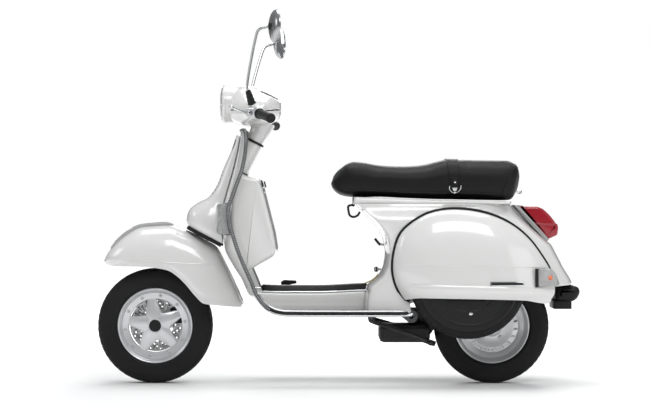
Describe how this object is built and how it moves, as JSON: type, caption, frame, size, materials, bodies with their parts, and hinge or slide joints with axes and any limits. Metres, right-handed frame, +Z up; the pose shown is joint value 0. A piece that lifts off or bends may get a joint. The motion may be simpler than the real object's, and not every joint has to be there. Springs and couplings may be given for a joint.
{
  "type": "moped scooter",
  "caption": "Step-through moped scooter with pressed-steel body, rounded side cowls, single-sided front fork, swinging engine and a long bench seat.",
  "frame": {"origin": "on the ground at the middle of the scooter's overall length and width", "axes": "+Z up, -X forward, -Y towards the rider's left, +Y towards the rider's right"},
  "size_m": [1.7969, 0.8332, 1.3624],
  "materials": {
    "white_paint": "gloss",
    "white_plastic": "gloss",
    "chrome": "polished",
    "cast_alloy": "satin",
    "steel": "satin",
    "tyre_rubber": "matt",
    "rubber": "matt",
    "black_plastic": "matt",
    "grey_plastic": "satin",
    "seat_cover": "satin",
    "red_lens": "gloss",
    "clear_lens": "gloss",
    "engine_metal": "rough",
    "exhaust_black": "matt",
    "mirror_glass": "polished"
  },
  "bodies": {
    "body": {"rear_body": "white_paint", "legshield": "white_paint", "floorboard": "white_paint", "tunnel": "white_paint", "tunnel_mat": "rubber", "steering_head": "steel", "horn_cover": "white_plastic", "legshield_trim": "chrome", "glovebox": "grey_plastic", "front_indicator_left": "clear_lens", "front_indicator_right": "clear_lens", "wheel_arch": "white_paint", "fuel_tank": "white_plastic", "tail_light": "red_lens", "rear_bumper": "black_plastic", "spare_tyre": "tyre_rubber", "spare_cover": "black_plastic"},
    "steering": {"fork": "steel", "front_fender": "white_paint", "headset_lower": "white_plastic", "headset_upper": "white_plastic", "headlight_lens": "clear_lens", "speedometer": "black_plastic", "brake_perch": "cast_alloy"},
    "front_link": {"front_link": "steel", "front_caliper": "black_plastic"},
    "front_wheel": {"front_rim": "cast_alloy", "front_tyre": "tyre_rubber", "front_disc": "steel"},
    "front_damper_tube": {"front_damper_tube": "steel", "front_spring": "steel"},
    "front_damper_rod": {"front_damper_rod": "steel"},
    "gear_grip": {"gear_grip": "rubber"},
    "clutch_lever": {"clutch_lever": "cast_alloy"},
    "throttle_grip": {"throttle_grip": "rubber"},
    "brake_lever": {"brake_lever": "cast_alloy"},
    "mirror_stalk_left": {"mirror_stalk_left": "chrome"},
    "mirror_head_left": {"mirror_head_left": "mirror_glass"},
    "mirror_stalk_right": {"mirror_stalk_right": "chrome"},
    "mirror_head_right": {"mirror_head_right": "mirror_glass"},
    "seat": {"seat_pan": "black_plastic", "seat_cushion": "seat_cover", "seat_strap": "seat_cover"},
    "glovebox_door": {"glovebox_door": "grey_plastic"},
    "left_cowl": {"left_cowl": "white_paint", "rear_indicator_left": "clear_lens"},
    "right_cowl": {"right_cowl": "white_paint", "rear_indicator_right": "clear_lens"},
    "engine": {"crankcase": "engine_metal", "silencer": "exhaust_black"},
    "rear_wheel": {"rear_rim": "steel", "rear_tyre": "tyre_rubber"},
    "rear_damper_tube": {"rear_damper_tube": "steel", "rear_spring": "steel"},
    "rear_damper_rod": {"rear_damper_rod": "steel"},
    "kickstart_lever": {"kickstart_lever": "steel"},
    "centre_stand": {"centre_stand": "steel"},
    "brake_pedal": {"brake_pedal": "steel"},
    "choke_knob": {"choke_knob": "black_plastic"},
    "bag_hook": {"bag_hook": "chrome"}
  },
  "joints": [
    {"name": "steer", "type": "hinge", "parent": "body", "child": "steering", "pos_m": [-0.316, 0, 0.9], "axis": [-0.4617, 0, -0.887], "range_deg": [-45, 45]},
    {"name": "front_link_swing", "type": "hinge", "parent": "steering", "child": "front_link", "pos_m": [-0.762, 0.057, 0.2085], "axis": [0, -1, 0], "range_deg": [-6, 15], "stiffness_Nm_per_rad": 250, "springref_deg": -6.88},
    {"name": "front_wheel_spin", "type": "hinge", "parent": "front_link", "child": "front_wheel", "pos_m": [-0.685, 0, 0.2145], "axis": [0, 1, 0], "continuous": true},
    {"name": "front_damper_tilt", "type": "hinge", "parent": "steering", "child": "front_damper_tube", "pos_m": [-0.543, 0.08, 0.392], "axis": [0, -1, 0], "range_deg": [-9, 4]},
    {"name": "front_damper_slide", "type": "slide", "parent": "front_damper_tube", "child": "front_damper_rod", "axis": [-0.6476, 0, -0.7619], "range_m": [-0.01, 0.0045], "deforming": ["front_spring"]},
    {"name": "gear_twist", "type": "hinge", "parent": "steering", "child": "gear_grip", "pos_m": [-0.289, -0.215, 0.998], "axis": [0.3354, -0.9277, -0.1641], "range_deg": [-35, 35]},
    {"name": "clutch_pull", "type": "hinge", "parent": "gear_grip", "child": "clutch_lever", "pos_m": [-0.327, -0.2, 1.002], "axis": [0, 0, -1], "range_deg": [0, 14], "stiffness_Nm_per_rad": 1.2, "springref_deg": -8.59},
    {"name": "throttle_twist", "type": "hinge", "parent": "steering", "child": "throttle_grip", "pos_m": [-0.289, 0.215, 0.998], "axis": [0.3354, 0.9277, -0.1641], "range_deg": [0, 75], "stiffness_Nm_per_rad": 0.3, "springref_deg": -17.19},
    {"name": "brake_pull", "type": "hinge", "parent": "steering", "child": "brake_lever", "pos_m": [-0.327, 0.2, 1.002], "axis": [0, 0, 1], "range_deg": [0, 14], "stiffness_Nm_per_rad": 1.2, "springref_deg": -8.59},
    {"name": "left_mirror_swivel", "type": "hinge", "parent": "steering", "child": "mirror_stalk_left", "pos_m": [-0.318, -0.166, 1.0375], "axis": [0, 0, 1], "range_deg": [-30, 30]},
    {"name": "left_mirror_tilt", "type": "hinge", "parent": "mirror_stalk_left", "child": "mirror_head_left", "pos_m": [-0.248, -0.3655, 1.302], "axis": [0, 0, 1], "range_deg": [-10, 10]},
    {"name": "right_mirror_swivel", "type": "hinge", "parent": "steering", "child": "mirror_stalk_right", "pos_m": [-0.318, 0.166, 1.0375], "axis": [0, 0, 1], "range_deg": [-30, 30]},
    {"name": "right_mirror_tilt", "type": "hinge", "parent": "mirror_stalk_right", "child": "mirror_head_right", "pos_m": [-0.248, 0.3655, 1.302], "axis": [0, 0, 1], "range_deg": [-10, 10]},
    {"name": "seat_lift", "type": "hinge", "parent": "body", "child": "seat", "pos_m": [0.045, 0, 0.6705], "axis": [0, -1, 0], "range_deg": [0, 70]},
    {"name": "glovebox_open", "type": "hinge", "parent": "body", "child": "glovebox_door", "pos_m": [-0.243, 0, 0.574], "axis": [0, 1, 0], "range_deg": [0, 75]},
    {"name": "left_cowl_off", "type": "slide", "parent": "body", "child": "left_cowl", "axis": [0, -0.4202, 0.9074], "range_m": [0, 0.2]},
    {"name": "right_cowl_off", "type": "slide", "parent": "body", "child": "right_cowl", "axis": [0, 0.4202, 0.9074], "range_m": [0, 0.2]},
    {"name": "engine_swing", "type": "hinge", "parent": "body", "child": "engine", "pos_m": [0.27, 0, 0.252], "axis": [0, -1, 0], "range_deg": [-2, 7], "stiffness_Nm_per_rad": 1800, "springref_deg": -4.01},
    {"name": "rear_wheel_spin", "type": "hinge", "parent": "engine", "child": "rear_wheel", "pos_m": [0.573, 0, 0.2145], "axis": [0, 1, 0], "continuous": true},
    {"name": "rear_damper_tilt", "type": "hinge", "parent": "body", "child": "rear_damper_tube", "pos_m": [0.66, 0.073, 0.478], "axis": [0, -1, 0], "range_deg": [-4, 1.5]},
    {"name": "rear_damper_slide", "type": "slide", "parent": "rear_damper_tube", "child": "rear_damper_rod", "axis": [-0.1031, 0, -0.9947], "range_m": [-0.0445, 0.013], "deforming": ["rear_spring"]},
    {"name": "kickstart", "type": "hinge", "parent": "engine", "child": "kickstart_lever", "pos_m": [0.33, 0.205, 0.222], "axis": [0, 1, 0], "range_deg": [0, 55], "stiffness_Nm_per_rad": 2.5, "springref_deg": -20.05},
    {"name": "stand_down", "type": "hinge", "parent": "body", "child": "centre_stand", "pos_m": [0.12, 0, 0.236], "axis": [0, 1, 0], "range_deg": [0, 78], "stiffness_Nm_per_rad": 8, "springref_deg": -28.65},
    {"name": "brake_press", "type": "hinge", "parent": "body", "child": "brake_pedal", "pos_m": [-0.14, 0.099, 0.285], "axis": [0, -1, 0], "range_deg": [0, 14], "stiffness_Nm_per_rad": 6, "springref_deg": -11.46},
    {"name": "choke_pull", "type": "slide", "parent": "body", "child": "choke_knob", "axis": [-1, 0, 0], "range_m": [0, 0.02]},
    {"name": "bag_hook_swing", "type": "hinge", "parent": "body", "child": "bag_hook", "pos_m": [0.056, 0, 0.666], "axis": [0, 1, 0], "range_deg": [-4, 26]}
  ],
  "couplings": [
    {"joint": "front_damper_tilt", "follows": "front_link_swing", "ratio": -0.565},
    {"joint": "front_damper_slide", "follows": "front_link_swing", "m_per_rad": -0.033},
    {"joint": "rear_damper_tilt", "follows": "engine_swing", "ratio": -0.52},
    {"joint": "rear_damper_slide", "follows": "engine_swing", "m_per_rad": -0.36}
  ]
}
